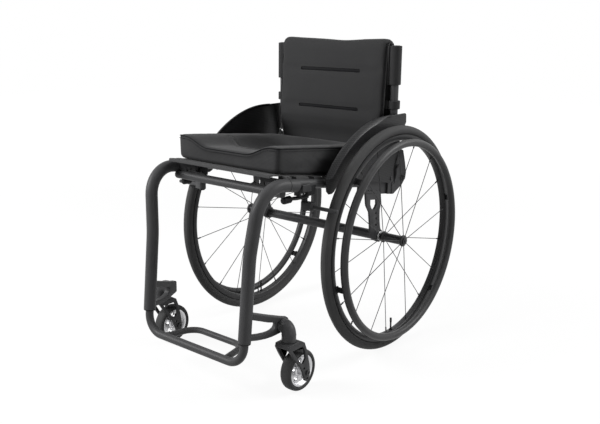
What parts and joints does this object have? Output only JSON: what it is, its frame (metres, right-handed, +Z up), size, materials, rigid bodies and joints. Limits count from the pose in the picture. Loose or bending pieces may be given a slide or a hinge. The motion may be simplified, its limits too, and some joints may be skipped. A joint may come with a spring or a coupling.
{
  "type": "wheelchair",
  "caption": "Rigid active wheelchair with an open tube frame, fold-down back, telescoping footrest hoop, quick-release rear wheels with handrims and swivelling casters.",
  "frame": {"origin": "centre of the footprint, on the floor", "axes": "+Z up, -Y the way the occupant faces, +X to the occupant's left"},
  "size_m": [0.5576, 0.7931, 0.8027],
  "materials": {
    "frame_paint": "satin black powder coat",
    "plate_anodised": "black anodised",
    "black_plastic": "fine grained",
    "tyre_rubber": "matte rubber",
    "rim_paint": "satin black",
    "handrim_coating": "satin dark grey",
    "seat_fabric": "close black weave",
    "cover_fabric": "close black weave",
    "bright_steel": "bright",
    "polished_aluminium": "polished"
  },
  "bodies": {
    "frame": {"leg_tube_left": "frame_paint", "leg_tube_right": "frame_paint", "leg_bush_left": "black_plastic", "leg_bush_right": "black_plastic", "seat_rail_left": "frame_paint", "seat_rail_right": "frame_paint", "front_cross_tube": "frame_paint", "camber_tube": "frame_paint", "axle_plate_left": "plate_anodised", "axle_plate_right": "plate_anodised", "axle_sleeve_left": "bright_steel", "axle_sleeve_right": "bright_steel", "wheel_axle_left": "bright_steel", "wheel_axle_right": "bright_steel", "caster_arm_left": "frame_paint", "caster_arm_right": "frame_paint", "caster_housing_left": "frame_paint", "caster_housing_right": "frame_paint", "seat_sling": "seat_fabric", "cushion": "seat_fabric", "side_guard_left": "black_plastic", "side_guard_right": "black_plastic", "brake_mount_left": "black_plastic", "brake_mount_right": "black_plastic", "back_bracket_left": "plate_anodised", "back_bracket_right": "plate_anodised", "back_pivot_left": "black_plastic", "back_pivot_right": "black_plastic"},
    "back": {"back_post_left": "frame_paint", "back_post_right": "frame_paint", "back_sling": "cover_fabric", "back_cover": "cover_fabric"},
    "footrest": {"footrest_front_hoop": "frame_paint", "footrest_rear_loop": "frame_paint"},
    "wheel_left": {"tyre_left": "tyre_rubber", "rim_left": "rim_paint", "wheel_hub_left": "rim_paint", "handrim_left": "handrim_coating"},
    "wheel_right": {"tyre_right": "tyre_rubber", "rim_right": "rim_paint", "wheel_hub_right": "rim_paint", "handrim_right": "handrim_coating"},
    "release_button_left": {"axle_button_left": "bright_steel"},
    "release_button_right": {"axle_button_right": "bright_steel"},
    "fork_left": {"caster_fork_left": "plate_anodised", "caster_axle_left": "bright_steel"},
    "fork_right": {"caster_fork_right": "plate_anodised", "caster_axle_right": "bright_steel"},
    "caster_wheel_left": {"caster_tyre_left": "tyre_rubber", "caster_hub_left": "polished_aluminium"},
    "caster_wheel_right": {"caster_tyre_right": "tyre_rubber", "caster_hub_right": "polished_aluminium"},
    "lever_left": {"brake_lever_left": "plate_anodised", "brake_grip_left": "black_plastic"},
    "lever_right": {"brake_lever_right": "plate_anodised", "brake_grip_right": "black_plastic"},
    "shoe_arm_left": {"brake_arm_left": "plate_anodised"},
    "shoe_arm_right": {"brake_arm_right": "plate_anodised"}
  },
  "joints": [
    {"name": "back_fold", "type": "hinge", "parent": "frame", "child": "back", "pos_m": [0, 0.1874, 0.4404], "axis": [1, 0, 0], "range_deg": [0, 20]},
    {"name": "footrest_height", "type": "slide", "parent": "frame", "child": "footrest", "axis": [0, -0.0953, -0.9955], "range_m": [-0.008, 0.05]},
    {"name": "wheel_spin_left", "type": "hinge", "parent": "frame", "child": "wheel_left", "pos_m": [0.2366, 0.1015, 0.295], "axis": [1, 0, 0], "continuous": true},
    {"name": "wheel_spin_right", "type": "hinge", "parent": "frame", "child": "wheel_right", "pos_m": [-0.2366, 0.1015, 0.295], "axis": [1, 0, 0], "continuous": true},
    {"name": "axle_button_left", "type": "slide", "parent": "frame", "child": "release_button_left", "axis": [-1, 0, 0], "range_m": [0, 0.004], "stiffness_N_per_m": 800},
    {"name": "axle_button_right", "type": "slide", "parent": "frame", "child": "release_button_right", "axis": [1, 0, 0], "range_m": [0, 0.004], "stiffness_N_per_m": 800},
    {"name": "caster_swivel_left", "type": "hinge", "parent": "frame", "child": "fork_left", "pos_m": [0.2214, -0.2945, 0.1312], "axis": [0, 0, 1], "continuous": true},
    {"name": "caster_swivel_right", "type": "hinge", "parent": "frame", "child": "fork_right", "pos_m": [-0.2214, -0.2945, 0.1312], "axis": [0, 0, 1], "continuous": true},
    {"name": "caster_spin_left", "type": "hinge", "parent": "fork_left", "child": "caster_wheel_left", "pos_m": [0.2214, -0.261, 0.0504], "axis": [1, 0, 0], "continuous": true},
    {"name": "caster_spin_right", "type": "hinge", "parent": "fork_right", "child": "caster_wheel_right", "pos_m": [-0.2214, -0.261, 0.0504], "axis": [1, 0, 0], "continuous": true},
    {"name": "brake_left", "type": "hinge", "parent": "frame", "child": "lever_left", "pos_m": [0.174, -0.1845, 0.445], "axis": [0, 0, 1], "range_deg": [0, 60]},
    {"name": "brake_right", "type": "hinge", "parent": "frame", "child": "lever_right", "pos_m": [-0.174, -0.1845, 0.445], "axis": [0, 0, -1], "range_deg": [0, 60]},
    {"name": "brake_shoe_left", "type": "hinge", "parent": "frame", "child": "shoe_arm_left", "pos_m": [0.174, -0.1845, 0.4215], "axis": [0, 0, 1], "range_deg": [0, 4.5]},
    {"name": "brake_shoe_right", "type": "hinge", "parent": "frame", "child": "shoe_arm_right", "pos_m": [-0.174, -0.1845, 0.4215], "axis": [0, 0, -1], "range_deg": [0, 4.5]}
  ],
  "couplings": [
    {"joint": "brake_shoe_left", "follows": "brake_left", "ratio": 0.075},
    {"joint": "brake_shoe_right", "follows": "brake_right", "ratio": 0.075}
  ]
}
